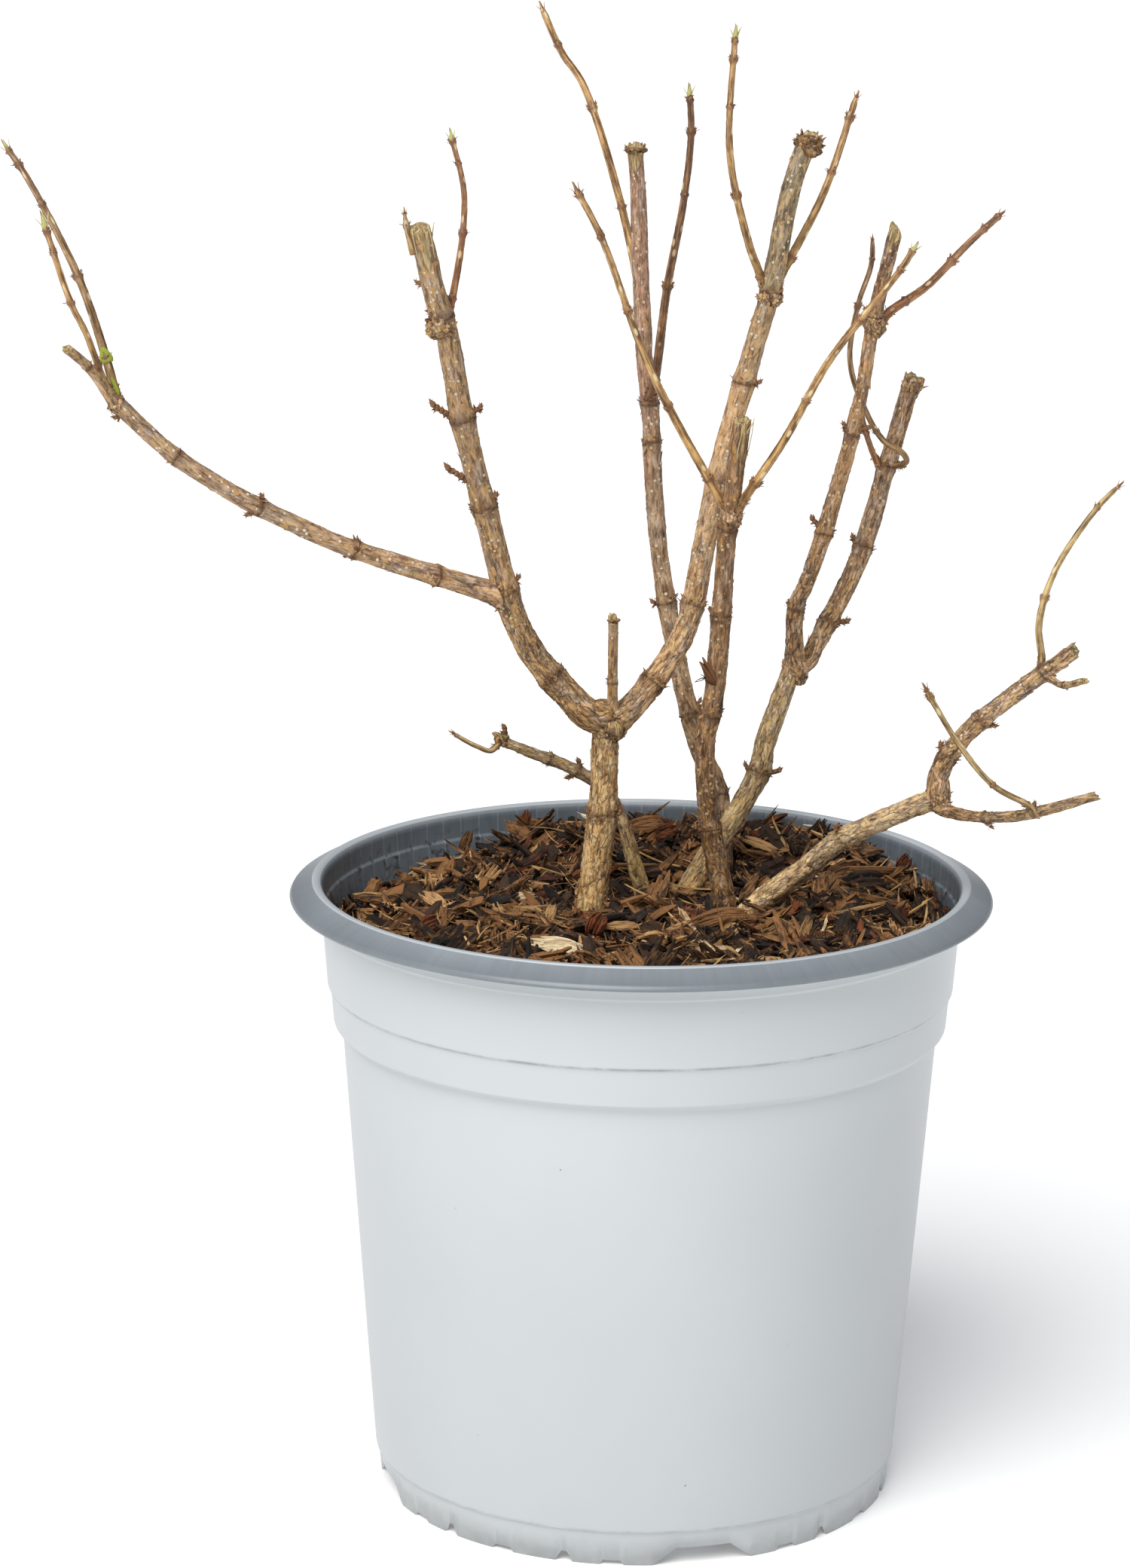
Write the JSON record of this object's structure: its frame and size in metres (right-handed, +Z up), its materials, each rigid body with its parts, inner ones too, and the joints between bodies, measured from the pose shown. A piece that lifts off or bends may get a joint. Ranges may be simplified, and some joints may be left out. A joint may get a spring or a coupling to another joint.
{
  "type": "potted panicle hydrangea",
  "caption": "Leafless winter panicle hydrangea with pruned woody stems and slender one-year shoots, growing in a tapered white nursery pot filled with bark mulch.",
  "frame": {"origin": "centre of the pot's underside, on the surface that the pot stands on", "axes": "+Z up, the picture's view along +Y, +X to the right in that view"},
  "size_m": [0.3542, 0.229, 0.4805],
  "materials": {
    "pot_plastic": "satin thermoformed polypropylene, very pale bluish grey outside, silver grey rim and inside",
    "mix": "moist peat and bark potting mix",
    "mulch": "shredded pine bark, dark brown to pale tan",
    "bark": "tan flaking bark with pale raised pores",
    "shoot_bark": "smooth yellow brown one-year bark with pale pores and bud tips"
  },
  "bodies": {
    "root": {"pot": "pot_plastic", "potting_mix": "mix", "bark_mulch": "mulch", "front_left_stem": "bark", "centre_front_stem": "bark", "right_rear_stem": "bark", "low_right_stem": "bark", "back_stem": "bark", "low_left_stem": "bark", "left_upright_bough": "bark", "tall_centre_bough": "bark", "left_arching_bough": "bark", "right_tall_bough": "bark", "right_outer_bough": "bark", "low_right_upper_bough": "bark", "low_right_side_bough": "bark", "centre_stub": "bark", "far_left_stub": "bark", "low_right_stub": "bark", "left_top_shoot": "shoot_bark", "left_top_dead_twig": "shoot_bark", "far_left_long_shoot": "shoot_bark", "far_left_short_shoot": "shoot_bark", "centre_top_left_shoot": "shoot_bark", "centre_top_right_shoot": "shoot_bark", "back_tall_shoot": "shoot_bark", "back_straight_shoot": "shoot_bark", "centre_left_shoot": "shoot_bark", "centre_right_shoot": "shoot_bark", "right_top_shoot": "shoot_bark", "right_short_shoot": "shoot_bark", "right_looping_shoot": "shoot_bark", "low_right_tall_shoot": "shoot_bark", "low_right_side_shoot": "shoot_bark", "low_left_twig": "shoot_bark"}
  },
  "joints": []
}
